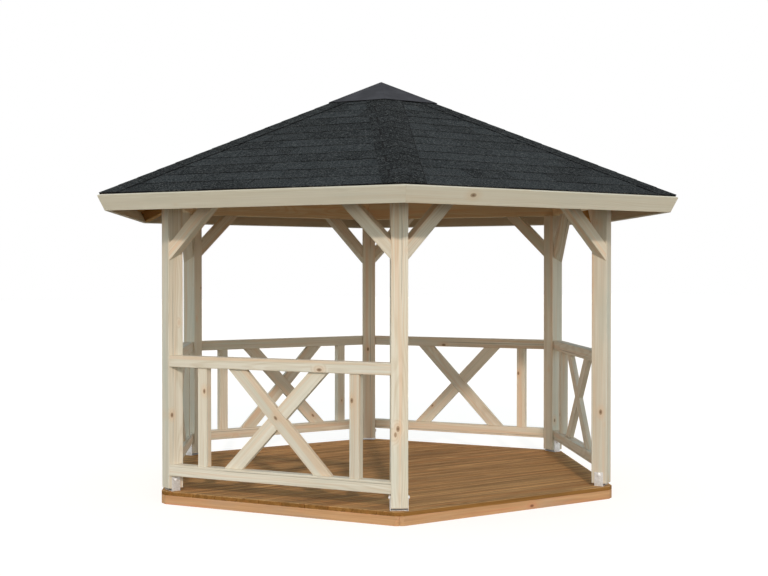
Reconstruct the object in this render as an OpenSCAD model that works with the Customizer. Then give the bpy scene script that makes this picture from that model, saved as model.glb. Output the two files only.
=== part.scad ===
// Six-sided open garden gazebo: timber deck, six square posts, a ring beam with knee braces,
// railings in five bays, one open entrance bay and a shingled pyramid roof with a cap.
// Millimetres, +Z up. The origin is on the ground at the middle of the floor, and the
// entrance faces -Y.

/* [Floor] */
// Radius of the floor from the centre to a corner
floor_r = 1750; // [1400:10:2200]
// Length cut off each side of the floor at a corner
corner_cut = 33; // [5:1:60]
// Height of the rim boards and the joists
rim_h = 58; // [40:1:120]
// Thickness of the rim boards
rim_t = 45; // [25:1:70]
// Thickness of the deck boards
deck_t = 27; // [18:1:45]
// Width of a joist
joist_w = 45; // [30:1:80]
// Distance from joist to joist
joist_pitch = 450; // [300:10:700]
// Open joint where two rim boards meet at a corner
rim_joint = 1; // [0.5:0.1:3]

/* [Posts] */
// Width of a square post
post_w = 105; // [80:1:160]
// Length of a post
post_l = 1885; // [1700:5:2300]
// Clear height between the deck and the foot of a post
post_lift = 18; // [12:1:60]
// Width of a steel shoe along the post's side
shoe_w = 60; // [40:1:75]
// Height of a shoe's side lugs above the deck
shoe_h = 95; // [60:1:100]
// Thickness of the shoe steel
shoe_t = 4; // [2:0.5:6]

/* [Beams and braces] */
// Thickness of the beams, knee braces and rails
frame_t = 75; // [45:1:78]
// Height of the ring beam
beam_h = 140; // [100:1:180]
// Distance of the frame's outer face inside the floor's side line
frame_inset = 3; // [0:1:15]
// Distance from the post to the lower edge of a knee brace, along the beam
brace_reach = 382; // [250:1:500]
// Width of a knee brace
brace_w = 80; // [50:1:110]

/* [Railings] */
// Height of the top rail's upper edge above the deck
rail_top = 898; // [800:1:1100]
// Height of the top and bottom rails
rail_h = 75; // [45:1:100]
// Height of the bottom rail's lower edge above the deck
rail_gap = 104; // [100:1:200]
// Width of a baluster
baluster_w = 68; // [40:1:90]
// Thickness of a baluster
baluster_t = 55; // [30:1:75]
// Distance of a baluster's middle line from the middle of its bay
baluster_at = 557; // [480:1:600]
// Width of a cross board
cross_w = 95; // [60:1:120]
// Thickness of the cross boards, which are halved into each other
cross_t = 34; // [18:1:70]
// Distance of a cross board's middle line from the bay's middle, at the top rail
cross_top = 297; // [200:1:400]
// Distance of a cross board's middle line from the bay's middle, at the bottom rail
cross_bottom = 329; // [200:1:420]
// Play between the two cross boards in their halved joint
halving_play = 0.3; // [0.2:0.1:1]

/* [Roof] */
// Slope of the roof in degrees
roof_pitch = 25; // [18:0.5:35]
// Plan distance from the floor's corner to the roof's corner
roof_overhang = 440; // [250:5:600]
// Height from the ring beam to the roof boards, at the beam's outer face
roof_lift = 54; // [30:1:90]
// Thickness of the roof boards
board_t = 20; // [16:1:28]
// Thickness of the shingle layer
shingle_t = 9; // [5:1:15]
// Open joint between the shingles of two slopes, along a hip
hip_joint = 1; // [0.5:0.1:3]
// Width of the eave boards
fascia_w = 108; // [80:1:160]
// Thickness of the eave boards
fascia_t = 18; // [15:1:30]
// Width of a hip rafter
rafter_w = 60; // [45:1:90]
// Upright depth of a hip rafter
rafter_h = 94; // [80:1:110]
// Radius of the block in which the rafters meet
boss_r = 110; // [90:1:160]
// Distance that the block hangs below the rafters
boss_drop = 40; // [10:1:100]
// Plan radius of the roof cap, from the centre to a corner
cap_r = 450; // [300:5:600]
// Thickness of the roof cap
cap_t = 9; // [3:1:20]

/* [Hidden] */
// Direction in which each side of the hexagon faces, by the side's name
SIDES = [["front", 270], ["front_right", 330], ["back_right", 30],
         ["back", 90], ["back_left", 150], ["front_left", 210]];
// Direction in which each corner of the hexagon lies, by the corner's name
CORNERS = [["front_left", 240], ["front_right", 300], ["right", 0],
           ["back_right", 60], ["back_left", 120], ["left", 180]];
// Sides with a railing: all but the entrance
RAILED = [for (s = SIDES) if (s[0] != "front") s];

half_angle = 30;
deck_z = rim_h + deck_t;
floor_apothem = floor_r * cos(half_angle);
corner_face_r = floor_r - corner_cut * sin(half_angle);

// The shoulders of a post stand over the floor's side lines
post_out_r = floor_r - post_w / 2 * tan(half_angle);
post_mid_r = post_out_r - post_w / 2;
post_z = deck_z + post_lift;
beam_z = post_z + post_l;
beam_top = beam_z + beam_h;

// Outer, middle and inner planes of the rails, braces and beams
frame_out = floor_apothem - frame_inset;
frame_mid = frame_out - frame_t / 2;
frame_in = frame_out - frame_t;
// Half of the clear width between two posts, at the frame's outer face
bay_half = frame_out * tan(half_angle) - post_w / 2 / cos(half_angle);

bottom_rail_z = deck_z + rail_gap;
top_rail_z = deck_z + rail_top - rail_h;
infill_z = bottom_rail_z + rail_h;
infill_h = top_rail_z - infill_z;

// The roof rests at roof_lift above the ring beam and reaches out by roof_overhang.
// Its slope is measured from the apex of the shingles, down the slope and square to it.
roof_r = floor_r + roof_overhang;
layers = shingle_t + board_t;
apex_z = beam_top + roof_lift + frame_out * tan(roof_pitch) + layers / cos(roof_pitch);
fascia_s = (roof_r * cos(half_angle) + shingle_t * sin(roof_pitch)) / cos(roof_pitch);
slope_l = fascia_s - fascia_t;
cap_z = apex_z - cap_r * cos(half_angle) * tan(roof_pitch);
// The boards stop just short of the apex
peak_s = 40;

// Height of the roof boards' underside over a point of a hip
function hip_z(r) = apex_z - layers / cos(roof_pitch) - r * cos(half_angle) * tan(roof_pitch);

// Point of the roof section: s down the slope from the apex, n above the shingle plane
function roof_point(s, n) = [s * cos(roof_pitch) + n * sin(roof_pitch),
                             apex_z - s * sin(roof_pitch) + n * cos(roof_pitch)];

boss_in = boss_r * cos(half_angle);
boss_z = hip_z(boss_in) - rafter_h - boss_drop;
big = 2 * roof_r;

// Wedge of plan between the two corners of the side that faces +X. trim moves both
// of its faces in, square to themselves.
module side_wedge(trim) {
    translate([trim / sin(half_angle), 0, -1])
        linear_extrude(big)
            polygon([[0, 0], [big, big * tan(half_angle)], [big, -big * tan(half_angle)]]);
}

// A section in distance from the centre and height, run along one side of the hexagon
// and mitred at the corners
module along_side(angle, section, trim = 0) {
    rotate(angle)
        intersection() {
            translate([0, big / 2, 0])
                rotate([90, 0, 0])
                    linear_extrude(big)
                        polygon(section);
            side_wedge(trim);
        }
}

// A shape in the plane of one side, lying between the depths out and out - thick
module in_side(angle, out, thick) {
    rotate(angle)
        translate([out, 0, 0])
            rotate([90, 0, -90])
                linear_extrude(thick)
                    children();
}

function box_section(inner, outer, low, high) =
    [[inner, low], [outer, low], [outer, high], [inner, high]];

// Plan of the floor with its corners cut off
module floor_plan() {
    polygon([for (c = [0:5]) for (e = [-1, 1])
        let (a = 60 * c, d = a + 180 - e * 60)
        [floor_r * cos(a) + corner_cut * cos(d), floor_r * sin(a) + corner_cut * sin(d)]]);
}

// Everything above the plane that lies n over the shingle plane, on the side facing angle
module above_roof(angle, n) {
    rotate(angle)
        translate([0, 0, apex_z])
            rotate([0, roof_pitch, 0])
                translate([-big, -big, n])
                    cube([2 * big, 2 * big, big]);
}

// Everything outside the inner face of the eave board, on the side facing angle
module beyond_eave(angle) {
    rotate(angle)
        translate([0, 0, apex_z])
            rotate([0, roof_pitch, 0])
                translate([slope_l, -big, -big])
                    cube([big, 2 * big, 2 * big]);
}

// Hexagonal block of corner radius r, from the height low up to the planes that lie n
// over the shingle plane
module under_roof(r, turn, low, n) {
    difference() {
        translate([0, 0, low])
            rotate(turn)
                cylinder(h = apex_z + beam_h - low, r = r, $fn = 6);
        for (s = SIDES)
            above_roof(s[1], n);
    }
}

module floor_rim() {
    color("#bf9466")
        intersection() {
            for (s = SIDES)
                along_side(s[1], box_section(floor_apothem - rim_t, floor_apothem, 0, rim_h),
                           rim_joint / 2);
            linear_extrude(rim_h) floor_plan();
        }
}

module floor_joists() {
    inner_r = (floor_apothem - rim_t) / cos(half_angle);
    count = floor((inner_r - joist_w) / joist_pitch);
    color("#8a6a45")
        intersection() {
            for (i = [-count:count])
                translate([i * joist_pitch - joist_w / 2, -floor_r, 0])
                    cube([joist_w, 2 * floor_r, rim_h]);
            cylinder(h = rim_h, r = inner_r, $fn = 6);
        }
}

module floor_deck() {
    color("#8c6941")
        translate([0, 0, rim_h])
            linear_extrude(deck_t)
                floor_plan();
}

// Galvanised shoe: two lugs beside the post, a plate on the deck and a seat under the post
module post_shoe(angle) {
    rotate(angle)
        translate([post_mid_r - shoe_w / 2, 0, 0]) {
            for (side = [-1, 1])
                translate([0, side * (post_w + shoe_t) / 2 - shoe_t / 2, deck_z])
                    cube([shoe_w, shoe_t, shoe_h]);
            for (z = [deck_z, post_z - shoe_t])
                translate([0, -post_w / 2, z])
                    cube([shoe_w, post_w, shoe_t]);
        }
}

module post_shoes() {
    color("#c3c3c3")
        for (c = CORNERS)
            post_shoe(c[1]);
}

module post(angle) {
    color("#ddd6c8")
        rotate(angle)
            translate([post_mid_r - post_w / 2, -post_w / 2, post_z])
                cube([post_w, post_w, post_l]);
}

module ring_beam(angle) {
    color("#cfc4ae")
        along_side(angle, box_section(frame_in, frame_out, beam_z, beam_top));
}

// Knee braces of one bay: one at each post, at 45 degrees, up to the ring beam
module knee_braces(angle) {
    top_w = brace_w * sqrt(2);
    foot = bay_half + 5;
    color("#cfc4ae")
        intersection() {
            in_side(angle, frame_out, frame_t)
                for (side = [-1, 1])
                    scale([side, 1])
                        polygon([[bay_half - brace_reach, beam_z],
                                 [bay_half - brace_reach + top_w, beam_z],
                                 [foot, beam_z - (foot - bay_half + brace_reach - top_w)],
                                 [foot, beam_z - (foot - bay_half + brace_reach)]]);
            rotate(angle) side_wedge(post_w / 2);
        }
}

// Rails between the posts of each railed bay, with their ends cut to the posts' faces
module rails(z) {
    color("#ddd6c8")
        for (s = RAILED)
            along_side(s[1], box_section(frame_in, frame_out, z, z + rail_h), post_w / 2);
}

// Outline of a cross board, widened by extra on both edges. side is 1 where the board
// leans to the right and -1 where it leans to the left.
module cross_outline(side, extra) {
    lean = atan2(infill_h, cross_top + cross_bottom);
    half = (cross_w / 2 + extra) / sin(lean);
    scale([side, 1])
        polygon([[-cross_bottom - half, infill_z], [-cross_bottom + half, infill_z],
                 [cross_top + half, infill_z + infill_h],
                 [cross_top - half, infill_z + infill_h]]);
}

// Cross board with half of its thickness cut away where the other board lies. The board
// that leans to the right keeps its outer half there.
module cross_board(angle, side) {
    notch_out = side > 0 ? frame_mid + halving_play / 2
                         : frame_mid + cross_t - halving_play / 2;
    difference() {
        in_side(angle, frame_mid + cross_t / 2, cross_t) cross_outline(side, 0);
        in_side(angle, notch_out, cross_t) cross_outline(-side, halving_play);
    }
}

// Two balusters and a pair of crossed boards between the rails of one bay
module infill(angle) {
    color("#ddd6c8")
        for (side = [-1, 1]) {
            in_side(angle, frame_mid + baluster_t / 2, baluster_t)
                translate([side * baluster_at - baluster_w / 2, infill_z])
                    square([baluster_w, infill_h]);
            cross_board(angle, side);
        }
}

// Rafters from the block to the eave boards, notched over the ring beam's corners
module hip_rafters() {
    outer = slope_l * cos(roof_pitch) / cos(half_angle);
    color("#a8875c")
        for (c = CORNERS)
            difference() {
                rotate(c[1])
                    translate([0, rafter_w / 2, 0])
                        rotate([90, 0, 0])
                            linear_extrude(rafter_w)
                                polygon([[boss_in, hip_z(boss_in) - rafter_h],
                                         [outer, hip_z(outer) - rafter_h],
                                         [outer, hip_z(outer) + layers],
                                         [boss_in, hip_z(boss_in) + layers]]);
                for (side = [-half_angle, half_angle]) {
                    above_roof(c[1] + side, -layers);
                    beyond_eave(c[1] + side);
                    rotate(c[1] + side)
                        translate([frame_in, -floor_r, beam_z])
                            cube([frame_t, 2 * floor_r, beam_h]);
                }
            }
}

module rafter_block() {
    color("#a8875c")
        under_roof(boss_r, half_angle, boss_z, -layers);
}

module roof_boards(angle) {
    color("#8f7048")
        along_side(angle, [roof_point(peak_s, -layers), roof_point(slope_l, -layers),
                           roof_point(slope_l, -shingle_t), roof_point(peak_s, -shingle_t)]);
}

module fascia(angle) {
    low = -shingle_t - fascia_w;
    color("#b0a89b")
        along_side(angle, [roof_point(slope_l, low), roof_point(fascia_s, low),
                           roof_point(fascia_s, -shingle_t), roof_point(slope_l, -shingle_t)]);
}

module roof_shingles() {
    color("#2d3539")
        for (s = SIDES)
            along_side(s[1], [roof_point(peak_s, -shingle_t), roof_point(slope_l, -shingle_t),
                              roof_point(slope_l, 0), roof_point(peak_s, 0)], hip_joint / 2);
}

// Pyramid of sheet that lies on the shingles at the peak
module roof_cap() {
    color("#42444e")
        difference() {
            under_roof(cap_r, 0, cap_z - cap_t, cap_t);
            under_roof(cap_r + cap_t, 0, cap_z - 2 * cap_t, 0);
        }
}

floor_rim();
floor_joists();
floor_deck();
post_shoes();
for (c = CORNERS)
    post(c[1]);
for (s = SIDES)
    ring_beam(s[1]);
for (s = SIDES)
    knee_braces(s[1]);
rails(bottom_rail_z);  // bottom_rails
rails(top_rail_z);  // top_rails
for (s = RAILED)
    infill(s[1]);
hip_rafters();
rafter_block();
for (s = SIDES)
    roof_boards(s[1]);
for (s = SIDES)
    fascia(s[1]);
roof_shingles();
roof_cap();
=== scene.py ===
import math
import random

import bmesh
import bpy
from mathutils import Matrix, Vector


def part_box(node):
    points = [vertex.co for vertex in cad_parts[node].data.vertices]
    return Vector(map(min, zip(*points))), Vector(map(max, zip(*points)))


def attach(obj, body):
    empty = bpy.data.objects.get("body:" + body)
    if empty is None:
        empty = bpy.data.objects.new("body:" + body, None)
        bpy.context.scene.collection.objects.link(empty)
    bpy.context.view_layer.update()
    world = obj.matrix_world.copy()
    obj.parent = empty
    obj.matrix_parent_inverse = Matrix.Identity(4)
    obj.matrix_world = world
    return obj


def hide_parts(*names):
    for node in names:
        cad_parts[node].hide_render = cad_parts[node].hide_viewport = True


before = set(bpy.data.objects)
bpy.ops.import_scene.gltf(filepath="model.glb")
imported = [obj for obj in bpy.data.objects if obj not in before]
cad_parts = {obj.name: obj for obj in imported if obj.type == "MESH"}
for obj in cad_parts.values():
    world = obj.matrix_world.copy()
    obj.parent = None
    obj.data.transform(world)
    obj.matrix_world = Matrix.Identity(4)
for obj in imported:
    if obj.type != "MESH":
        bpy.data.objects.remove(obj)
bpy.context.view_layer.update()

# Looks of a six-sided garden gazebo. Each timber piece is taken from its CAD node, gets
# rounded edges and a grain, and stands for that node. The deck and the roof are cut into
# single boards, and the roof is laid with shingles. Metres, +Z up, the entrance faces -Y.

# The angles that the sides and the posts look in, in degrees from +X.
SIDES = {"front": 270, "front_right": 330, "back_right": 30,
         "back": 90, "back_left": 150, "front_left": 210}
CORNERS = {"front_left": 240, "front_right": 300, "right": 0,
           "back_right": 60, "back_left": 120, "left": 180}
SIDE_ANGLE = 60
HALF_ANGLE = math.radians(SIDE_ANGLE / 2)
UP = Vector((0, 0, 1))
ALONG_X = Vector((1, 0, 0))
ALONG_Y = Vector((0, 1, 0))

WELD = 1e-5                 # points nearer than this are one
FLAT = math.radians(1)      # faces that meet at less than this are one
FAR = 9.0                   # stands for a knot or crack that isn't there
ONE_WAY = Vector((1, 1.3, 1.7))  # tells the two ways along a timber apart

# Each solid is sawn from another place: this far along the log, and up to this far off its pith.
LOG_RUN = 30
PITH_OFF = 0.14

# Knots that show plainly: the angle that their face looks in, how far along the face from the
# gazebo's middle line, the height, and the size beside that of a common knot.
KNOTS = {"post_front_left": ((240, -0.010, 0.586, 1.1),),
         "post_front_right": ((210, 1.679, 0.587, 1.1),),
         "post_left": ((270, -1.695, 0.589, 1.0),),
         "post_back_right": ((60, 0.010, 0.870, 1.0),),
         "infill_front_left": ((210, 0.541, 0.744, 1.0), (210, -0.009, 0.608, 1.0),
                               (210, -0.541, 0.758, 1.0)),
         "infill_back_right": ((30, -0.537, 0.705, 0.9),),
         "top_rails": ((210, 0.318, 0.926, 1.1), (30, 0.124, 0.921, 1.1)),
         "fascia_front": ((270, -0.600, 1.990, 1.35),),
         "floor_rim": ((270, 0.160, 0.022, 1.0),)}
KNOT_LONG, KNOT_WIDE = 0.017, 0.010
KNOT_FACING = 0.8           # how squarely a solid's face has to look in the knot's angle
KNOT_BEHIND = -0.1          # a solid further behind the middle is on the other side

rng = random.Random(41)


# ---------------------------------------------------------------- mesh code

def direction(degrees):
    """Level unit vector that points at an angle counted from +X."""
    return Vector((math.cos(math.radians(degrees)), math.sin(math.radians(degrees)), 0))


class Piece:
    """Solids gathered into one mesh object that rides on the frame."""

    def __init__(self, name, slot, *nodes):
        self.name, self.slot, self.nodes = name, slot, nodes
        self.points, self.faces, self.kinds = [], [], []
        self.grain, self.tone, self.check, self.spot = [], [], [], []

    def add(self, bm, along, across, check=None, tone=None, kind=0):
        """Adds a solid whose grain runs along it. check is the place of a drying crack,
        counted from the solid's middle line across its face."""
        side = along.cross(across)
        middle = sum((v.co for v in bm.verts), Vector()) / len(bm.verts)
        shift = Vector((rng.uniform(0, LOG_RUN), rng.uniform(-PITH_OFF, PITH_OFF),
                        rng.uniform(-PITH_OFF, PITH_OFF)))
        level = rng.random() if tone is None else tone
        start = len(self.points)
        bm.verts.index_update()
        knot, size = self.knot(bm, middle, along, across, side)
        long, wide = KNOT_LONG * size, KNOT_WIDE * size
        for v in bm.verts:
            off = v.co - middle
            local = Vector((off.dot(along), off.dot(across), off.dot(side)))
            self.spot.append(((local.x - knot.x) / long, 0, (local.z - knot.z) / wide))
            self.points.append(v.co[:])
            self.grain.append((local + shift)[:])
            self.tone.append(level)
            self.check.append(FAR if check is None else local.z - check)
        for f in bm.faces:
            self.faces.append([start + v.index for v in f.verts])
            self.kinds.append(kind if f.material_index == 0 else f.material_index)
        bm.free()

    def knot(self, bm, middle, along, across, side):
        """Where the solid's knot from KNOTS lies, in the solid's own directions, and its size."""
        for node in self.nodes:
            for angle, place, height, size in KNOTS.get(node, ()):
                face = direction(angle)
                off = UP.cross(face) * place + UP * height - middle
                off -= face * off.dot(face)
                spot = Vector((off.dot(along), 0, off.dot(side)))
                runs = [(v.co - middle).dot(along) for v in bm.verts]
                rises = [(v.co - middle).dot(side) for v in bm.verts]
                inside = min(runs) <= spot.x <= max(runs) and min(rises) <= spot.z <= max(rises)
                facing = abs(across.dot(face)) > KNOT_FACING and middle.dot(face) > KNOT_BEHIND
                if inside and facing:
                    return spot, size
        return Vector((FAR, 0, FAR)), 1.0

    def make(self, *materials):
        """The object, with its attributes and materials, riding and standing for its nodes."""
        mesh = bpy.data.meshes.new(self.name)
        mesh.from_pydata(self.points, [], self.faces)
        for label, kind, field, values in (
                ("grain", "FLOAT_VECTOR", "vector", [x for g in self.grain for x in g]),
                ("spot", "FLOAT_VECTOR", "vector", [x for g in self.spot for x in g]),
                ("tone", "FLOAT", "value", self.tone),
                ("check", "FLOAT", "value", self.check)):
            mesh.attributes.new(label, kind, "POINT").data.foreach_set(field, values)
        for material in materials:
            mesh.materials.append(material)
        mesh.polygons.foreach_set("material_index", self.kinds)
        mesh.update()
        obj = bpy.data.objects.new(self.name, mesh)
        bpy.context.scene.collection.objects.link(obj)
        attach(obj, "root")
        if self.nodes:
            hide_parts(*self.nodes)


def clean_copy(node):
    """A CAD node's mesh with its faces whole again."""
    bm = bmesh.new()
    bm.from_mesh(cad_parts[node].data)
    bmesh.ops.remove_doubles(bm, verts=bm.verts, dist=WELD)
    bmesh.ops.dissolve_limit(bm, angle_limit=FLAT, verts=bm.verts, edges=bm.edges)
    for f in bm.faces:
        f.material_index = 0
    bm.normal_update()
    return bm


def face_groups(bm):
    """Lists of the faces that hang together, in a fixed order."""
    bm.faces.ensure_lookup_table()
    seen = set()
    groups = []
    for first in bm.faces:
        if first.index in seen:
            continue
        seen.add(first.index)
        group = [first]
        for face in group:
            for edge in face.edges:
                for other in edge.link_faces:
                    if other.index not in seen:
                        seen.add(other.index)
                        group.append(other)
        groups.append(group)
    return groups


def solids(node):
    """The separate solids of a CAD node."""
    whole = clean_copy(node)
    found = []
    for group in face_groups(whole):
        part = bmesh.new()
        made = {}
        for face in group:
            for v in face.verts:
                if v.index not in made:
                    made[v.index] = part.verts.new(v.co)
            part.faces.new([made[v.index] for v in face.verts])
        part.normal_update()
        found.append(part)
    whole.free()
    return found


def long_edge(bm):
    """Direction of a solid's longest edge."""
    edge = max(bm.edges, key=lambda e: round(e.calc_length(), 4))
    a, b = (v.co for v in edge.verts)
    run = (b - a).normalized()
    return run if run.dot(ONE_WAY) > 0 else -run


def wide_face(bm, along):
    """Normal of a solid's widest face beside its grain, made square to it."""
    beside = [f for f in bm.faces if abs(f.normal.dot(along)) < 0.5]
    face = max(beside, key=lambda f: round(f.calc_area(), 5))
    return (face.normal - along * face.normal.dot(along)).normalized()


def round_edges(bm, width):
    bmesh.ops.bevel(bm, geom=bm.edges[:], offset=width, segments=2, profile=0.5,
                    affect="EDGES", clamp_overlap=True)


def cut(bm, place, normal):
    """Removes what lies beyond a plane and closes the solid there."""
    result = bmesh.ops.bisect_plane(bm, geom=bm.verts[:] + bm.edges[:] + bm.faces[:],
                                    plane_co=place, plane_no=normal, clear_outer=True)
    rim = [g for g in result["geom_cut"] if isinstance(g, bmesh.types.BMEdge)]
    if rim:
        bmesh.ops.edgeloop_fill(bm, edges=rim)


def strips(bm, normal, pitch, gap):
    """Boards cut from a slab, side by side along normal."""
    reach = [v.co.dot(normal) for v in bm.verts]
    count = math.ceil((max(reach) - min(reach)) / pitch)
    start = (max(reach) + min(reach) - count * pitch) / 2
    boards = []
    for i in range(count):
        board = bm.copy()
        low = start + i * pitch + gap / 2
        high = low + pitch - gap
        cut(board, normal * low, -normal)
        if board.faces:
            cut(board, normal * high, normal)
        if len(board.faces) > 3:
            board.normal_update()
            boards.append(board)
    bm.free()
    return boards


# ---------------------------------------------------------------- materials

class Graph:
    """Short hand for a material's node tree."""

    def __init__(self, name):
        self.material = bpy.data.materials.new(name)
        self.material.use_nodes = True
        self.tree = self.material.node_tree
        self.tree.nodes.clear()
        self.shader = self.node("ShaderNodeBsdfPrincipled")
        out = self.node("ShaderNodeOutputMaterial")
        self.tree.links.new(self.shader.outputs[0], out.inputs["Surface"])

    def node(self, kind, **settings):
        n = self.tree.nodes.new(kind)
        for key, value in settings.items():
            setattr(n, key, value)
        return n

    def put(self, socket, value):
        if isinstance(value, bpy.types.NodeSocket):
            self.tree.links.new(value, socket)
        else:
            socket.default_value = value

    def attribute(self, name, output):
        return self.node("ShaderNodeAttribute", attribute_name=name).outputs[output]

    def math(self, operation, a, b=0.0, clamp=False):
        n = self.node("ShaderNodeMath", operation=operation, use_clamp=clamp)
        self.put(n.inputs[0], a)
        self.put(n.inputs[1], b)
        return n.outputs[0]

    def scaled(self, vector, scale):
        n = self.node("ShaderNodeVectorMath", operation="MULTIPLY")
        self.put(n.inputs[0], vector)
        self.put(n.inputs[1], scale)
        return n.outputs[0]

    def noise(self, vector, scale, detail=2.0, roughness=0.5):
        """Noise with so many waves to a metre, in each direction or in all of them."""
        n = self.node("ShaderNodeTexNoise")
        waves = scale if isinstance(scale, tuple) else (scale, scale, scale)
        self.put(n.inputs["Vector"], self.scaled(vector, waves))
        n.inputs["Scale"].default_value = 1.0
        n.inputs["Detail"].default_value = detail
        n.inputs["Roughness"].default_value = roughness
        return n.outputs["Fac"]

    def cells(self, vector, scale):
        """The distance from the nearest cell's middle, and two random numbers of that cell."""
        n = self.node("ShaderNodeTexVoronoi", feature="F1")
        self.put(n.inputs["Vector"], self.scaled(vector, scale))
        n.inputs["Scale"].default_value = 1.0
        pick = self.node("ShaderNodeSeparateColor")
        self.put(pick.inputs[0], n.outputs["Color"])
        return n.outputs["Distance"], pick.outputs[0], pick.outputs[1]

    def ramp(self, value, low, high, start=0.0, end=1.0):
        """value from low to high becomes start to end, smoothly."""
        n = self.node("ShaderNodeMapRange", interpolation_type="SMOOTHSTEP")
        self.put(n.inputs["Value"], value)
        n.inputs["From Min"].default_value = low
        n.inputs["From Max"].default_value = high
        n.inputs["To Min"].default_value = start
        n.inputs["To Max"].default_value = end
        return n.outputs["Result"]

    def mix(self, factor, a, b, blend="MIX"):
        n = self.node("ShaderNodeMix", data_type="RGBA", blend_type=blend)
        self.put(n.inputs["Factor"], factor)
        self.put(n.inputs[6], a)
        self.put(n.inputs[7], b)
        return n.outputs[2]

    def surface(self, base, roughness, gloss=0.5, metal=0.0):
        """The shader's colour and roughness, and what is the same all over the surface."""
        self.put(self.shader.inputs["Base Color"], base)
        self.put(self.shader.inputs["Roughness"], roughness)
        self.shader.inputs["Specular IOR Level"].default_value = gloss
        self.shader.inputs["Metallic"].default_value = metal

    def bump(self, height, strength, distance):
        n = self.node("ShaderNodeBump")
        n.inputs["Strength"].default_value = strength
        n.inputs["Distance"].default_value = distance
        self.put(n.inputs["Height"], height)
        self.tree.links.new(n.outputs[0], self.shader.inputs["Normal"])


def colour(r, g, b):
    """A colour written as it looks on a screen, from 0 to 255, as a shader takes it."""
    return (*((c / 255) ** 2.2 for c in (r, g, b)), 1.0)


RING = 0.0055               # from one growth ring to the next
RING_WOBBLE = 0.08
RING_PUSH = 0.012           # how far a knot pushes the rings aside
RING_SHARE, FINE_SHARE, BROAD_SHARE = 0.34, 0.28, 0.38

# Chance knots lie in cells, so many to a metre in each direction. The other pairs are where a
# part of a knot begins and where it is full, as shares of the knot's size.
KNOT_CELLS = (4.5, 8.5, 8.5)
KNOT_SIZES = (20.0, 11.0)
KNOT_HALO, KNOT_BODY, KNOT_CORE = (4.0, 0.8), (1.15, 0.8), (0.7, 0.2)
HALO_SHARE, BODY_SHARE, CORE_SHARE = 0.4, 0.8, 0.6
KNOT_RIM = colour(96, 66, 42)
KNOT_HEART = colour(78, 56, 38)

CRACK_WIDE, CRACK_WANDER, CRACK_SOFT = 0.0016, 0.008, 0.0008
CRACK_SHARE = 0.55
CRACK_DARK = colour(88, 72, 56)


def knots(g, grain, share):
    """How far off the nearest knot is, where 1 is a knot's edge. share is how many of the
    chance knots are there, and the attribute "spot" gives the knot from KNOTS."""
    distance, chance, number = g.cells(grain, KNOT_CELLS)
    unchosen = g.math("GREATER_THAN", chance, share)
    size = g.ramp(number, 0.0, 1.0, *KNOT_SIZES)
    off = g.math("ADD", g.math("MULTIPLY", distance, size), g.math("MULTIPLY", unchosen, FAR))
    length = g.node("ShaderNodeVectorMath", operation="LENGTH")
    g.put(length.inputs[0], g.attribute("spot", "Vector"))
    return g.math("MINIMUM", off, length.outputs["Value"])


def figure(g, grain, halo):
    """Growth rings around a pith beside the board, bent round knots, with fine and broad
    streaks, from 0 for pale to 1 for dark."""
    parts = g.node("ShaderNodeSeparateXYZ")
    g.put(parts.inputs[0], grain)
    turns = g.math("SUBTRACT", g.noise(grain, (0.8, 5, 5), 2), 0.5)
    across = g.math("ADD", parts.outputs["Y"], g.math("MULTIPLY", turns, RING_WOBBLE))
    radius = g.math("SQRT", g.math("ADD", g.math("POWER", across, 2.0),
                                   g.math("POWER", parts.outputs["Z"], 2.0)))
    radius = g.math("ADD", radius, g.math("MULTIPLY", halo, RING_PUSH))
    wave = g.math("SINE", g.math("MULTIPLY", radius, 2 * math.pi / RING))
    rings = g.ramp(wave, -0.4, 1.0)
    fine = g.ramp(g.noise(grain, (2.6, 130, 130), 3, 0.6), 0.36, 0.64)
    broad = g.ramp(g.noise(grain, (0.8, 30, 30), 3, 0.6), 0.36, 0.66)
    streaks = g.math("ADD", g.math("MULTIPLY", fine, FINE_SHARE),
                     g.math("MULTIPLY", broad, BROAD_SHARE))
    return g.math("ADD", g.math("MULTIPLY", rings, RING_SHARE), streaks, clamp=True)


def drying_crack(g, grain):
    """1 along the piece's drying crack, which wanders, narrows and opens again."""
    turns = g.math("SUBTRACT", g.noise(grain, (5, 3, 3), 3), 0.5)
    bend = g.math("MULTIPLY", turns, CRACK_WANDER)
    away = g.math("ABSOLUTE", g.math("ADD", g.attribute("check", "Fac"), bend))
    width = g.math("MULTIPLY", g.ramp(g.noise(grain, (1.7, 2, 2), 1), 0.38, 0.6), CRACK_WIDE)
    return g.ramp(g.math("SUBTRACT", away, width), CRACK_SOFT, 0.0)


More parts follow.
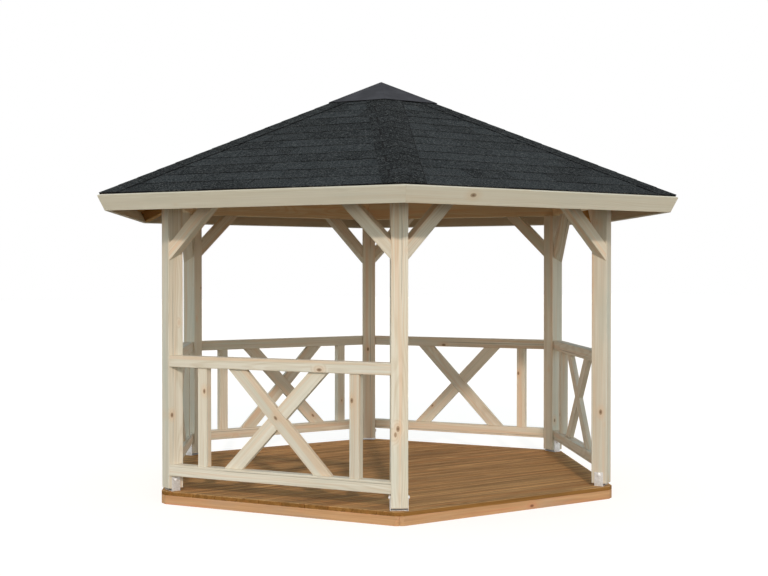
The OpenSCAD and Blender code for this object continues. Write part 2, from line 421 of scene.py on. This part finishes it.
def wood(name, pale, dark, warm, cool, figure_depth=1.0, warm_share=0.5, cool_share=0.45,
         knot_share=0.3, rough=0.72, gloss=0.15, spread=0.06):
    """Sawn softwood with its figure, warmer and cooler patches, knots and a drying crack.
    spread is how much the timbers differ in brightness."""
    g = Graph(name)
    grain = g.attribute("grain", "Vector")
    off = knots(g, grain, knot_share)
    halo = g.ramp(off, *KNOT_HALO)
    lines = figure(g, grain, halo)
    base = g.mix(g.math("MULTIPLY", lines, figure_depth), pale, dark)
    base = g.mix(g.ramp(g.noise(grain, (0.5, 24, 24), 3, 0.6), 0.48, 0.7, 0.0, warm_share),
                 base, warm)
    base = g.mix(g.ramp(g.noise(grain, (1.2, 11, 7), 3, 0.6), 0.48, 0.72, 0.0, cool_share),
                 base, cool)
    base = g.mix(g.math("MULTIPLY", halo, HALO_SHARE), base, warm)
    body, core = g.ramp(off, *KNOT_BODY), g.ramp(off, *KNOT_CORE)
    base = g.mix(g.math("MULTIPLY", body, BODY_SHARE), base, g.mix(0.6, warm, KNOT_RIM))
    base = g.mix(g.math("MULTIPLY", core, CORE_SHARE), base, KNOT_HEART)
    crack = drying_crack(g, grain)
    base = g.mix(g.math("MULTIPLY", crack, CRACK_SHARE), base, CRACK_DARK)
    level = g.ramp(g.attribute("tone", "Fac"), 0.0, 1.0, 1 - spread, 1 + spread)
    g.surface(g.mix(1.0, base, level, "MULTIPLY"),
              g.ramp(lines, 0.0, 1.0, rough + 0.08, rough - 0.06), gloss)
    g.bump(g.math("SUBTRACT", g.math("MULTIPLY", lines, 0.35), crack), 0.35, 0.001)
    return g.material


def shingle_material():
    """Felt covered with mineral grains, in slate greys that change from tab to tab. A tone
    below 0 is darker still."""
    g = Graph("shingle_grains")
    place = g.attribute("grain", "Vector")
    tone = g.attribute("tone", "Fac")
    grains = g.noise(place, 300, 2, 0.7)
    clumps = g.noise(place, 90, 3, 0.75)
    patch = g.noise(place, (5, 7, 5), 3, 0.6)
    runs = g.noise(place, (45, 45, 14), 2, 0.6)
    base = g.mix(g.ramp(tone, 0.0, 1.0), colour(28, 31, 33), colour(50, 53, 55))
    base = g.mix(g.ramp(patch, 0.42, 0.68, 0.0, 0.55), base, colour(57, 59, 61))
    base = g.mix(1.0, base, g.ramp(tone, -1.0, 0.0, 0.7, 1.0), "MULTIPLY")
    base = g.mix(g.ramp(clumps, 0.48, 0.68, 0.0, 0.8), base, colour(98, 99, 98))
    base = g.mix(g.ramp(clumps, 0.49, 0.34, 0.0, 0.85), base, colour(14, 16, 18))
    base = g.mix(g.ramp(runs, 0.52, 0.36, 0.0, 0.35), base, colour(28, 29, 31))
    base = g.mix(g.ramp(grains, 0.55, 0.8, 0.0, 0.6), base, colour(130, 130, 128))
    base = g.mix(g.ramp(grains, 0.45, 0.25, 0.0, 0.5), base, colour(18, 21, 24))
    g.surface(base, g.ramp(grains, 0.3, 0.7, 0.95, 0.82), gloss=0.05)
    g.bump(g.math("ADD", grains, clumps), 0.5, 0.0015)
    return g.material


def felt_material():
    """The bare, tarry felt at the cut edges of shingles and between their tabs. It is also laid
    as painted shade beside the hip strips and under the cap's edge.
    """
    g = Graph("shingle_felt")
    dust = g.noise(g.attribute("grain", "Vector"), 80, 2)
    g.surface(g.mix(g.ramp(dust, 0.4, 0.75), colour(26, 26, 27), colour(42, 42, 43)),
              g.ramp(dust, 0.3, 0.7, 0.9, 0.7), gloss=0.05)
    g.bump(dust, 0.3, 0.001)
    return g.material


def cap_material():
    """Matt anthracite sheet, faintly clouded and specked."""
    g = Graph("cap_coating")
    place = g.attribute("grain", "Vector")
    cloud = g.noise(place, 7, 4, 0.6)
    speck = g.noise(place, 260, 1)
    base = g.mix(g.ramp(cloud, 0.35, 0.7), colour(54, 54, 58), colour(61, 61, 66))
    base = g.mix(g.ramp(speck, 0.6, 0.8, 0.0, 0.35), base, colour(92, 88, 90))
    g.surface(base, g.ramp(cloud, 0.3, 0.7, 0.8, 0.7), gloss=0.12)
    g.bump(g.math("ADD", g.math("MULTIPLY", speck, 0.4), cloud), 0.2, 0.001)
    return g.material


def steel_material(name, dark, light):
    """Galvanised steel with its pale crystal pattern."""
    g = Graph(name)
    place = g.attribute("grain", "Vector")
    _, shade, polish = g.cells(place, (150, 150, 150))
    dull = g.noise(place, 40, 3)
    base = g.mix(g.ramp(shade, 0.0, 1.0), dark, light)
    base = g.mix(g.ramp(dull, 0.55, 0.85, 0.0, 0.4), base, colour(196, 196, 194))
    g.surface(base, g.ramp(polish, 0.0, 1.0, 0.45, 0.6), metal=0.6)
    g.bump(dull, 0.15, 0.0005)
    return g.material


FRAME_WOOD = wood("frame_wood", colour(237, 230, 216), colour(214, 200, 178),
                  colour(230, 190, 152), colour(206, 210, 198))
# A paler, warmer copy of the frame wood for the beams: painted warm bounce light in the shade
# under the roof.
WARM_LIT_BEAM_WOOD = wood("warm_lit_beam_wood", colour(248, 232, 202), colour(228, 200, 158),
                 colour(240, 194, 144), colour(220, 210, 186))
# The fascias are of the frame's timber; this darker, greyer copy is painted shade on boards that
# tilt down.
SHADED_EAVE_WOOD = wood("shaded_eave_wood", colour(226, 219, 203), colour(208, 197, 176),
                 colour(214, 188, 156), colour(200, 200, 188), figure_depth=0.7,
                 warm_share=0.25, cool_share=0.3, knot_share=0.1, spread=0.02)
RIM_WOOD = wood("rim_wood", colour(222, 176, 132), colour(182, 132, 90),
                colour(216, 142, 106), colour(180, 158, 138), warm_share=0.65, spread=0.04)
DECK_WOOD = wood("deck_wood", colour(230, 180, 124), colour(108, 74, 44),
                 colour(190, 126, 78), colour(150, 116, 82), rough=0.8, gloss=0.05,
                 knot_share=0.12, spread=0.1)
DECK_END = wood("deck_end", colour(172, 124, 70), colour(108, 74, 40),
                colour(164, 106, 60), colour(126, 98, 62), rough=0.85, gloss=0.05)
ROOF_WOOD = wood("roof_wood", colour(216, 170, 110), colour(178, 130, 76),
                 colour(196, 132, 74), colour(162, 130, 86), spread=0.1)
SHINGLE = shingle_material()
FELT = felt_material()
CAP = cap_material()
STEEL = steel_material("galvanised_steel", colour(214, 213, 212), colour(232, 231, 230))
# The bolts are the shoes' galvanised steel made nearly white: painted glint on heads whose domes
# also catch real light.
GLINT_PAINTED_BOLT = steel_material("galvanised_bolt_painted_glint", colour(240, 240, 240), colour(250, 250, 250))


# ---------------------------------------------------------------- timber frame

SLIM_EDGE, BOARD_EDGE, POST_EDGE = 0.002, 0.003, 0.004
RAIL_CHECK = 0.0235

# Posts whose grain faces another way than outward, and where their drying crack runs.
POST_FACES = {"front_left": (240, 0.014), "left": (270, -0.02), "front_right": (210, None),
              "back_right": (240, 0.01)}


def timber(node, slot, material, edge, across=None, check=None, along=None):
    """A CAD node as planed timber with rounded edges."""
    piece = Piece(node + "_timber", slot, node)
    for bm in solids(node):
        run = along or long_edge(bm)
        flat = across or wide_face(bm, run)
        round_edges(bm, edge)
        piece.add(bm, run, flat, check() if check else None)
    piece.make(material)


def now_and_then(reach, chance):
    """A drying crack somewhere within reach of the middle, on some of the pieces."""
    def place():
        spot = rng.uniform(-reach, reach)
        return spot if rng.random() < chance else None
    return place


def make_post(name, angle):
    face, spot = POST_FACES.get(name, (angle, None))
    timber("post_" + name, "frame_timber", FRAME_WOOD, POST_EDGE,
           across=direction(face), check=lambda: spot)


def make_side(name, angle):
    """The timbers of one side. The front, which is the entrance, has no railing."""
    timber("beam_" + name, "frame_timber", WARM_LIT_BEAM_WOOD, BOARD_EDGE,
           across=direction(angle), check=now_and_then(reach=0.05, chance=0.3))
    timber("braces_" + name, "frame_timber", FRAME_WOOD, BOARD_EDGE,
           check=now_and_then(reach=0.02, chance=0.15))
    if name != "front":
        timber("infill_" + name, "frame_timber", FRAME_WOOD, BOARD_EDGE)
    timber("fascia_" + name, "eave_timber", SHADED_EAVE_WOOD, SLIM_EDGE,
           check=now_and_then(reach=0.03, chance=0.15))


def make_frame():
    timber("floor_rim", "rim_timber", RIM_WOOD, SLIM_EDGE)
    timber("floor_joists", "roof_timber", RIM_WOOD, SLIM_EDGE)
    for name, angle in CORNERS.items():
        make_post(name, angle)
    for name, angle in SIDES.items():
        make_side(name, angle)
    timber("top_rails", "frame_timber", FRAME_WOOD, POST_EDGE,
           check=now_and_then(reach=0.02, chance=0.2))
    timber("bottom_rails", "frame_timber", FRAME_WOOD, POST_EDGE, check=lambda: RAIL_CHECK)
    timber("hip_rafters", "roof_timber", ROOF_WOOD, SLIM_EDGE)
    timber("rafter_block", "roof_timber", ROOF_WOOD, POST_EDGE, along=UP)


# ---------------------------------------------------------------- deck

DECK_PITCH = 0.145
DECK_GAP = 0.005
DECK_EDGE = 0.0025
GROOVE_DEPTH = 0.011
TONGUE_INSET = 0.025
UPRIGHT = 0.3               # a face whose normal rises less than this stands upright


def deck_tongues():
    """The deck's slab, lower than its boards and back from its rim, which closes the gaps
    between the boards further down."""
    bm = clean_copy("floor_deck")
    reach = max(v.co.length for v in bm.verts)
    top = max(v.co.z for v in bm.verts)
    for v in bm.verts:
        if v.co.z > top - WELD:
            v.co.z -= GROOVE_DEPTH
        v.co.xy *= 1 - TONGUE_INSET / reach
    return bm


def make_deck():
    """Boards side by side, with darker ends and sides than tops."""
    piece = Piece("deck_boards", "deck_timber", "floor_deck")
    piece.add(deck_tongues(), ALONG_X, UP, tone=0.5, kind=1)
    for board in strips(clean_copy("floor_deck"), ALONG_Y, DECK_PITCH, DECK_GAP):
        round_edges(board, DECK_EDGE)
        for f in board.faces:
            f.material_index = int(abs(f.normal.z) < UPRIGHT)
        piece.add(board, ALONG_X, UP)
    piece.make(DECK_WOOD, DECK_END)


# ---------------------------------------------------------------- roof

class Slope:
    """One slope of the roof, with places given along the eave, down the slope and out of it."""

    def __init__(self, name, angle):
        self.name = name
        self.along = UP.cross(direction(angle))
        boards = clean_copy("roof_boards_" + name)
        face = max((f for f in boards.faces if f.normal.z > 0.5), key=lambda f: f.calc_area())
        self.normal = face.normal.copy()
        board_top = face.verts[0].co.dot(self.normal)
        boards.free()
        self.down = self.along.cross(self.normal)
        if self.down.z > 0:
            self.down.negate()
        self.pitch = math.acos(self.normal.z)
        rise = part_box("roof_shingles")[1].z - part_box("roof_boards_" + name)[1].z
        self.thick = rise / math.cos(self.pitch)
        self.apex = Vector((0, 0, (board_top + self.thick) / self.normal.z))
        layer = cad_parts["roof_shingles"].data.vertices
        places = [(v.co - self.apex).dot(self.down) for v in layer
                  if abs((v.co - self.apex).dot(self.normal)) < 2 * WELD]
        self.eave, self.peak = max(places), min(places)

    def at(self, u, s, n):
        return self.apex + self.along * u + self.down * s + self.normal * n

    def half(self, s, n=0.0):
        """Half of the slope's width at s down from the apex and n out of it."""
        return (s * math.cos(self.pitch) + n * math.sin(self.pitch)) * math.tan(HALF_ANGLE)


def clip(points, inside):
    """A polygon cut by a line. inside gives the distance within the line."""
    kept = []
    for a, b in zip(points, points[1:] + points[:1]):
        da, db = inside(a), inside(b)
        if da >= 0:
            kept.append(a)
        if da * db < 0:
            t = da / (da - db)
            kept.append((a[0] + (b[0] - a[0]) * t, a[1] + (b[1] - a[1]) * t))
    return kept


def plate(slope, outline, top, bottom, side=1):
    """A flat plate on a slope. top gives its height at (u, s), and side 1 bares its felt."""
    bm = bmesh.new()
    upper = [bm.verts.new(slope.at(u, s, top(u, s))) for u, s in outline]
    lower = [bm.verts.new(slope.at(u, s, bottom)) for u, s in outline]
    bm.faces.new(upper)
    bm.faces.new(lower[::-1]).material_index = 1
    for i in range(len(outline)):
        j = (i + 1) % len(outline)
        bm.faces.new((upper[j], upper[i], lower[i], lower[j])).material_index = side
    bmesh.ops.recalc_face_normals(bm, faces=bm.faces)
    return bm


ROOF_BOARD = 0.12
ROOF_JOINT = 0.0006


def make_roof_boards(slope):
    piece = Piece("roof_boards_" + slope.name + "_timber", "roof_timber",
                  "roof_boards_" + slope.name)
    slab = clean_copy("roof_boards_" + slope.name)
    for board in strips(slab, slope.down, ROOF_BOARD, ROOF_JOINT):
        round_edges(board, BOARD_EDGE)
        piece.add(board, slope.along, slope.normal)
    piece.make(ROOF_WOOD)


EXPOSURE = 0.145            # how much of each course shows
TAB, TAB_SLOT = 0.333, 0.003
TAB_TUCK = 0.006
TAB_LIFT, LIFT_SPREAD = 0.003, (0.8, 1.15)
BUTT_WANDER = 0.003
BARE_BUTTS = 0.3            # the share of tabs whose cut edges show bare felt
FELT_T = 0.003


def lay_felt(piece, slope):
    """The felt that shows in the slots between the tabs."""
    bottom = -slope.thick
    narrow, wide = slope.half(slope.peak, bottom), slope.half(slope.eave, bottom)
    outline = [(-narrow, slope.peak), (narrow, slope.peak),
               (wide, slope.eave), (-wide, slope.eave)]
    piece.add(plate(slope, outline, lambda u, s: bottom + FELT_T, bottom),
              slope.along, slope.down, tone=0.0)


def tab_outline(slope, left, butt, low):
    """A tab that starts at left in the course that ends at butt and is cut at low, without
    what lies beyond its slope."""
    right, high = left + TAB - TAB_SLOT, butt - EXPOSURE - TAB_TUCK
    outline = [(left, high), (right, high), (right, low), (left, low)]
    for inside in (lambda p: slope.half(p[1], -slope.thick) - p[0],
                   lambda p: slope.half(p[1], -slope.thick) + p[0],
                   lambda p: p[1] - slope.peak):
        outline = clip(outline, inside)
    return outline


def lay_course(piece, slope, row):
    """A course of tabs, counted from the eave. Each lies deeper towards its upper edge."""
    butt = slope.eave - row * EXPOSURE
    reach = slope.half(butt) + TAB
    first = -math.ceil(reach / TAB) * TAB + (row % 2) * TAB / 2
    for i in range(int(2 * reach / TAB) + 2):
        low = butt - rng.uniform(0, BUTT_WANDER) * (row > 0)
        outline = tab_outline(slope, first + i * TAB + TAB_SLOT / 2, butt, low)
        fall = TAB_LIFT * rng.uniform(*LIFT_SPREAD) / EXPOSURE
        if len(outline) > 2:
            bare = int(rng.random() < BARE_BUTTS)
            piece.add(plate(slope, outline, lambda u, s: min(0.0, -fall * (low - s)),
                            -slope.thick + FELT_T / 2, bare),
                      slope.along, slope.down)


def make_shingles(slopes):
    piece = Piece("shingle_courses", "shingles", "roof_shingles")
    for slope in slopes:
        lay_felt(piece, slope)
        for row in range(math.ceil((slope.eave - slope.peak) / EXPOSURE)):
            lay_course(piece, slope, row)
    piece.make(SHINGLE, FELT)


HIP_LEFT, HIP_RIGHT = 0.137, 0.124
HIP_STEP = 0.145
HIP_LAP = 0.012
HIP_OVER = 0.002            # how far the first strip stands out past the eave before it is cut
HIP_START = 0.28            # where the cap covers the strips, down from the apex
HIP_BUTT, HIP_TOP = 0.0035, 0.0015
HIP_SINK = 0.004
HIP_SLOT, HIP_SLOT_W, HIP_SLOT_T = 0.078, 0.011, HIP_TOP * 0.8
# A strip of dark felt beyond each hip strip's right edge, as painted shadow of that edge: its
# width and thickness.
HIP_SHADE_LINE, HIP_SHADE_LINE_T = 0.0055, HIP_TOP * 0.6
HIP_TONE = (-0.95, -0.4)


def bent_strip(apex, hip, wings, low, high, first, last):
    """A strip from low to high along a hip, first thick at its low end and last at its high
    one. Each wing is (normal, way, reach), and the one with reach 0 lies on the hip."""
    bm = bmesh.new()
    ends = []
    for s, t in ((low, first), (high, last)):
        line = apex + hip * s
        upper = [line + way * reach + normal * t for normal, way, reach in wings]
        lower = [line + way * reach - normal * HIP_SINK for normal, way, reach in wings]
        ends.append([bm.verts.new(p) for p in upper + lower[::-1]])
    a, b = ends
    count = len(a)
    for j in range(count):
        face = bm.faces.new((a[j], a[(j + 1) % count], b[(j + 1) % count], b[j]))
        face.material_index = 0 if j < len(wings) - 1 else 1
    bm.faces.new(a[::-1]).material_index = 1
    bm.faces.new(b).material_index = 1
    bmesh.ops.recalc_face_normals(bm, faces=bm.faces)
    return bm


def hip_layers(left, right, crown, slotted):
    """The layers of one strip, each as (wings, thickness at its butt, material). A thin strip of
    dark felt beyond its right edge is painted shadow of that edge, and a slotted one shows felt
    in a slot on its left half."""
    full = (*left, HIP_LEFT), crown, (*right, HIP_RIGHT)
    shade_line = crown, (*right, HIP_RIGHT + HIP_SHADE_LINE)
    if not slotted:
        return (full, HIP_BUTT, 0), (shade_line, HIP_SHADE_LINE_T, 1)
    inner = (*left, HIP_SLOT), crown, (*right, HIP_RIGHT)
    outer = (*left, HIP_LEFT), (*left, HIP_SLOT + HIP_SLOT_W)
    return ((inner, HIP_BUTT, 0), (outer, HIP_BUTT, 0),
            (full, HIP_SLOT_T, 1), (shade_line, HIP_SHADE_LINE_T, 1))


def lay_hip(piece, angle, left, right):
    """Strips bent over one hip, between the slopes left and right of it, laid in overlapping
    lengths from the eave up."""
    hip = left.normal.cross(right.normal).normalized()
    hip = hip if hip.z < 0 else -hip
    tangent = UP.cross(direction(angle))
    halves = []
    for slope, sign in ((left, -1), (right, 1)):
        way = slope.normal.cross(hip).normalized()
        halves.append((slope.normal, way if way.dot(tangent) * sign > 0 else -way))
    ridge = (left.normal + right.normal).normalized()
    crown = (ridge / ridge.dot(left.normal), hip, 0.0)
    span = math.cos(left.pitch) / math.cos(HALF_ANGLE) / math.sqrt(1 - hip.z ** 2)
    length = left.eave * span
    for k in range(math.ceil((length - HIP_START) / HIP_STEP)):
        low = length + HIP_OVER - k * HIP_STEP
        high = max(low - HIP_STEP - HIP_LAP, HIP_START)
        tone = rng.uniform(*HIP_TONE)
        for wings, butt, kind in hip_layers(*halves, crown, k % 2 == 1):
            bm = bent_strip(left.apex, hip, wings, low, high, butt, min(butt, HIP_TOP))
            for slope in (left, right):
                cut(bm, slope.apex + slope.down * slope.eave, slope.down)
            piece.add(bm, hip, ridge, tone=tone, kind=kind)


def make_hips(slopes):
    piece = Piece("hip_shingles", "shingles")
    by_angle = dict(zip(SIDES.values(), slopes))
    for angle in CORNERS.values():
        beside = [by_angle[(angle + turn) % 360] for turn in (-SIDE_ANGLE // 2, SIDE_ANGLE // 2)]
        lay_hip(piece, angle, *beside)
    piece.make(SHINGLE, FELT)


CAP_SHEET = 0.002
CAP_SHADOW_GAP = 0.012


def pyramid(reach, edge, top, depth):
    """A six-sided shell with its corners at the posts' angles, depth thick from the top down."""
    bm = bmesh.new()
    rings = []
    for fall in (0, depth):
        rim = [bm.verts.new(direction(a) * reach + UP * (edge - fall))
               for a in range(0, 360, SIDE_ANGLE)]
        rings.append((bm.verts.new(UP * (top - fall)), rim))
    (peak, upper), (hollow, lower) = rings
    for i in range(len(upper)):
        j = (i + 1) % len(upper)
        bm.faces.new((peak, upper[i], upper[j]))
        bm.faces.new((hollow, lower[j], lower[i]))
        bm.faces.new((upper[i], lower[i], lower[j], upper[j]))
    bmesh.ops.recalc_face_normals(bm, faces=bm.faces)
    return bm


def make_cap():
    """A thin folded sheet. The dark felt packed under it stays back from its edge, so a real
    recess shows there, and the felt is painted shade under the sheet's lip.
    """
    corners = [v.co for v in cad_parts["roof_cap"].data.vertices]
    rim_low = min(c.z for c in corners)
    rim = max(corners, key=lambda c: (round(math.hypot(c.x, c.y), 3), c.z))
    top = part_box("roof_cap")[1].z
    reach, edge = math.hypot(rim.x, rim.y), rim.z
    sheet = Piece("cap_sheet_metal", "cap_sheet", "roof_cap")
    sheet.add(pyramid(reach, edge, top, CAP_SHEET), ALONG_X, UP)
    sheet.make(CAP)
    # Dark felt under the sheet's edge, as painted shade below its lip.
    shade_packing = Piece("cap_shade_packing", "shingles")
    inset = reach - CAP_SHADOW_GAP
    drop = CAP_SHEET - (top - edge) * CAP_SHADOW_GAP / reach
    shade_packing.add(pyramid(inset, edge - drop, top - CAP_SHEET, edge - drop - rim_low), ALONG_X, UP)
    shade_packing.make(FELT)


def make_roof():
    slopes = [Slope(name, angle) for name, angle in SIDES.items()]
    for slope in slopes:
        make_roof_boards(slope)
    make_shingles(slopes)
    make_hips(slopes)
    make_cap()


# ---------------------------------------------------------------- shoes and bolts

BOLT_DROP = 0.016           # from the top of a lug down to its bolt
BOLT_SIDES = 24
SHOE_EDGE = 0.0008
HEAD_R, HEAD_T = 0.0115, 0.0075
WASHER_R, WASHER_T = 0.0135, 0.002
# Profiles as (share of the radius, share of the thickness).
WASHER = ((1.0, 0.0), (1.0, 0.7), (0.95, 1.0))
DOME = ((1.0, 0.0), (1.0, 0.2), (0.93, 0.5), (0.74, 0.78), (0.42, 0.95), (0.1, 1.0))


def turned(profile, radius, thickness, place, axis):
    """A round solid of a bolt around an axis."""
    bm = bmesh.new()
    side = axis.cross(UP).normalized()
    turns = [2 * math.pi * i / BOLT_SIDES for i in range(BOLT_SIDES)]
    rings = [[bm.verts.new(place + axis * thickness * high
                           + side * radius * wide * math.cos(turn)
                           + UP * radius * wide * math.sin(turn)) for turn in turns]
             for wide, high in profile]
    for low, high in zip(rings, rings[1:]):
        for i in range(BOLT_SIDES):
            j = (i + 1) % BOLT_SIDES
            bm.faces.new((low[i], low[j], high[j], high[i]))
    bm.faces.new(rings[0][::-1])
    bm.faces.new(rings[-1])
    bmesh.ops.recalc_face_normals(bm, faces=bm.faces)
    return bm


def add_bolts(bolts, shoe, middle, out):
    """A washer and a domed head on each of a shoe's two lugs."""
    side = UP.cross(out)
    reach = max(v.co.dot(side) for v in shoe.verts)
    height = max(v.co.z for v in shoe.verts) - BOLT_DROP
    for axis in (-side, side):
        face = out * middle.dot(out) + axis * reach + UP * height
        bolts.add(turned(WASHER, WASHER_R, WASHER_T, face, axis), axis, UP)
        bolts.add(turned(DOME, HEAD_R, HEAD_T, face + axis * WASHER_T, axis), axis, UP)


def make_shoes():
    shoes = Piece("post_shoes_steel", "galvanised_steel", "post_shoes")
    bolts = Piece("shoe_bolts", "galvanised_steel")
    for shoe in solids("post_shoes"):
        middle = sum((v.co for v in shoe.verts), Vector()) / len(shoe.verts)
        out = Vector((middle.x, middle.y, 0)).normalized()
        add_bolts(bolts, shoe, middle, out)
        round_edges(shoe, SHOE_EDGE)
        shoes.add(shoe, UP, out)
    shoes.make(STEEL)
    bolts.make(GLINT_PAINTED_BOLT)


make_frame()
make_deck()
make_roof()
make_shoes()


# ---------------------------------------------------------------- floor, light and camera

# The photo's viewpoint: where it is, its turn from +Y towards +X and its tilt in degrees.
CAMERA_AT = (-5.2575, -7.8815, 1.5285)
CAMERA_TURN = 33.83
CAMERA_TILT = -0.68
LENS, SENSOR_WIDTH = 60.35, 36.0
CLIP_END = 200.0
SUN_FROM = 240
SUN_HEIGHT = 25.5
SUN_WIDTH = 3
SUN_ENERGY = 1.55
SUN_COLOUR = (0.95, 0.79, 0.66)
SKY_LOW = (1.72, 1.70, 1.50, 1)
SKY_HIGH = (0.46, 0.62, 0.71, 1)
SKY_EDGE = 0.38             # how far the bright band reaches up, as the sine of its height
WHITE = (1, 1, 1, 1)
FLOOR_HALF = 60.0
GROUND_BOUNCE = (0.24, 0.21, 0.17, 1)
FLOOR_SHADE = (0.46, 0.38, 0.33, 1)
FLOOR_GLOW = 0.76


def seen_directly(tree):
    """1 for rays from the camera, from gloss and through glass, and 0 for lighting rays."""
    path = tree.nodes.new("ShaderNodeLightPath")
    total = path.outputs["Is Camera Ray"]
    for label in ("Is Glossy Ray", "Is Transmission Ray"):
        most = tree.nodes.new("ShaderNodeMath")
        most.operation = "MAXIMUM"
        tree.links.new(total, most.inputs[0])
        tree.links.new(path.outputs[label], most.inputs[1])
        total = most.outputs[0]
    return total


def by_ray(tree, lighting, seen):
    """One shader for lighting rays and another for what is seen directly."""
    pick = tree.nodes.new("ShaderNodeMixShader")
    tree.links.new(seen_directly(tree), pick.inputs[0])
    tree.links.new(lighting.outputs[0], pick.inputs[1])
    tree.links.new(seen.outputs[0], pick.inputs[2])
    return pick.outputs[0]


def floor_material():
    """Ground that throws a little light up, seen as a pale floor with the object's shadow."""
    material = bpy.data.materials.new("pale_floor")
    material.use_nodes = True
    tree = material.node_tree
    tree.nodes.clear()
    out = tree.nodes.new("ShaderNodeOutputMaterial")
    ground = tree.nodes.new("ShaderNodeBsdfDiffuse")
    ground.inputs["Color"].default_value = GROUND_BOUNCE
    shade = tree.nodes.new("ShaderNodeBsdfDiffuse")
    shade.inputs["Color"].default_value = FLOOR_SHADE
    glow = tree.nodes.new("ShaderNodeEmission")
    glow.inputs["Strength"].default_value = FLOOR_GLOW
    pale = tree.nodes.new("ShaderNodeAddShader")
    tree.links.new(shade.outputs[0], pale.inputs[0])
    tree.links.new(glow.outputs[0], pale.inputs[1])
    tree.links.new(by_ray(tree, ground, pale), out.inputs["Surface"])
    return material


def make_floor():
    corners = ((-1, -1), (1, -1), (1, 1), (-1, 1))
    mesh = bpy.data.meshes.new("floor_stage")
    mesh.from_pydata([(x * FLOOR_HALF, y * FLOOR_HALF, 0.0) for x, y in corners], [],
                     [(0, 1, 2, 3)])
    floor = bpy.data.objects.new("floor_stage", mesh)
    bpy.context.scene.collection.objects.link(floor)
    mesh.materials.append(floor_material())


def sky_colour(tree):
    """Bright and warm at the horizon, dimmer and bluer higher up."""
    place = tree.nodes.new("ShaderNodeTexCoord")
    parts = tree.nodes.new("ShaderNodeSeparateXYZ")
    rise = tree.nodes.new("ShaderNodeMapRange")
    rise.interpolation_type = "SMOOTHSTEP"
    rise.inputs["From Max"].default_value = SKY_EDGE
    shade = tree.nodes.new("ShaderNodeMix")
    shade.data_type = "RGBA"
    shade.inputs[6].default_value = SKY_LOW
    shade.inputs[7].default_value = SKY_HIGH
    tree.links.new(place.outputs["Generated"], parts.inputs[0])
    tree.links.new(parts.outputs["Z"], rise.inputs["Value"])
    tree.links.new(rise.outputs["Result"], shade.inputs["Factor"])
    return shade.outputs[2]


def make_world():
    """Soft light from all round, in front of a white background."""
    world = bpy.data.worlds.new("studio")
    bpy.context.scene.world = world
    world.use_nodes = True
    tree = world.node_tree
    tree.nodes.clear()
    out = tree.nodes.new("ShaderNodeOutputWorld")
    soft = tree.nodes.new("ShaderNodeBackground")
    tree.links.new(sky_colour(tree), soft.inputs["Color"])
    white = tree.nodes.new("ShaderNodeBackground")
    white.inputs["Color"].default_value = WHITE
    tree.links.new(by_ray(tree, soft, white), out.inputs["Surface"])


def make_sun():
    sun = bpy.data.lights.new("key", "SUN")
    sun.energy = SUN_ENERGY
    sun.angle = math.radians(SUN_WIDTH)
    sun.color = SUN_COLOUR
    key = bpy.data.objects.new("key", sun)
    bpy.context.scene.collection.objects.link(key)
    key.rotation_euler = (math.radians(90 - SUN_HEIGHT), 0, math.radians(SUN_FROM + 90))


def make_camera():
    scene = bpy.context.scene
    data = bpy.data.cameras.new("camera")
    data.lens = LENS
    data.sensor_width = SENSOR_WIDTH
    data.clip_end = CLIP_END
    camera = bpy.data.objects.new("camera", data)
    scene.collection.objects.link(camera)
    camera.location = CAMERA_AT
    camera.rotation_euler = (math.radians(90 + CAMERA_TILT), 0, math.radians(-CAMERA_TURN))
    scene.camera = camera
    scene.view_settings.view_transform = "Standard"


make_floor()
make_world()
make_sun()
make_camera()
